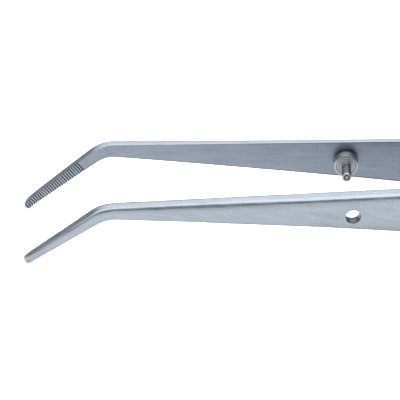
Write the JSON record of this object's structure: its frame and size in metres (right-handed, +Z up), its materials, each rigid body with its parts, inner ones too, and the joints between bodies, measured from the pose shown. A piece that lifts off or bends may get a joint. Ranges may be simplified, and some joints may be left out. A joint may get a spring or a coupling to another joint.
{
  "type": "tongs",
  "caption": "Fine steel tongs with bent serrated tips, two sprung arms joined at the heel, a guide pin on one arm and its hole in the other.",
  "frame": {"origin": "centre of the bounding box on the surface that the tongs lie on", "axes": "+X from the tips to the heel, +Y towards the arm that carries the guide pin, +Z up: the spine edges are up and the tips bend down"},
  "size_m": [0.16, 0.0222, 0.0107],
  "materials": {
    "satin_steel": "satin, brushed along the arm, cool grey",
    "turned_steel": "turned, fine rings, slightly darker grey"
  },
  "bodies": {
    "heel": {"pin_arm_heel": "satin_steel", "hole_arm_heel": "satin_steel", "heel_rivets": "turned_steel"},
    "pin_arm": {"pin_tip": "satin_steel", "pin_arm": "satin_steel", "pin_grip": "satin_steel", "pin_spring": "satin_steel", "guide_pin": "turned_steel"},
    "hole_arm": {"hole_tip": "satin_steel", "hole_arm": "satin_steel", "hole_grip": "satin_steel", "hole_spring": "satin_steel"}
  },
  "joints": [
    {"name": "pin_arm_flex", "type": "hinge", "parent": "heel", "child": "pin_arm", "pos_m": [0.07056, 0.0006, 0.003], "axis": [0, 0, 1], "range_deg": [0, 3.07], "stiffness_Nm_per_rad": 4},
    {"name": "hole_arm_flex", "type": "hinge", "parent": "heel", "child": "hole_arm", "pos_m": [0.07056, -0.0006, 0.003], "axis": [0, 0, -1], "range_deg": [0, 3.07], "stiffness_Nm_per_rad": 4}
  ]
}
